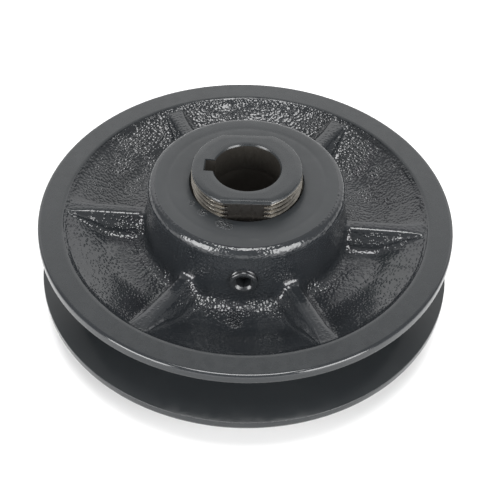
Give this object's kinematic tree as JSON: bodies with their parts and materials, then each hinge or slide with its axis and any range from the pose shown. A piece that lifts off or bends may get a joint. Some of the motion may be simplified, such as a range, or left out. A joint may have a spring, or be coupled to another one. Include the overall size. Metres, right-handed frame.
{
  "type": "v belt pulley",
  "caption": "Adjustable V-belt pulley: a ribbed cast flange screwed on the threaded barrel of a fixed flange, with socket set screws and a keyed shaft bore.",
  "frame": {"origin": "on the shaft axis, in the plane of the fixed hub's end, which is the lowest face", "axes": "+Z along the shaft bore from the fixed hub towards the threaded barrel's end; -Y towards the moving flange's set screw; the keyway is 3 degrees short of -X"},
  "size_m": [0.1206, 0.1206, 0.054],
  "materials": {
    "painted_casting": "slate-grey semi-gloss paint over sand-cast iron, smooth on the machined rims and hub faces",
    "bare_iron": "machined bare iron, lightly oiled",
    "black_steel": "black oxide"
  },
  "bodies": {
    "fixed_half": {"fixed_flange": "painted_casting"},
    "flange_thread": {"thread_ring": "bare_iron"},
    "moving_half": {"moving_flange": "painted_casting"},
    "flange_lock": {"flange_set_screw": "black_steel"},
    "hub_lock": {"hub_set_screw": "black_steel"}
  },
  "joints": [
    {"name": "flange_travel", "type": "slide", "parent": "fixed_half", "child": "flange_thread", "axis": [0, 0, 1], "range_m": [0, 0.00955]},
    {"name": "flange_turn", "type": "hinge", "parent": "flange_thread", "child": "moving_half", "pos_m": [0, 0, 0.03], "axis": [0, 0, 1], "range_deg": [0, 2160]},
    {"name": "flange_screw_lock", "type": "slide", "parent": "moving_half", "child": "flange_lock", "axis": [0, 1, 0], "range_m": [0, 0.00175]},
    {"name": "hub_screw_lock", "type": "slide", "parent": "fixed_half", "child": "hub_lock", "axis": [0.9986, -0.0523, 0], "range_m": [0, 0.001]}
  ],
  "couplings": [
    {"joint": "flange_travel", "follows": "flange_turn", "m_per_rad": 0.00025266}
  ]
}
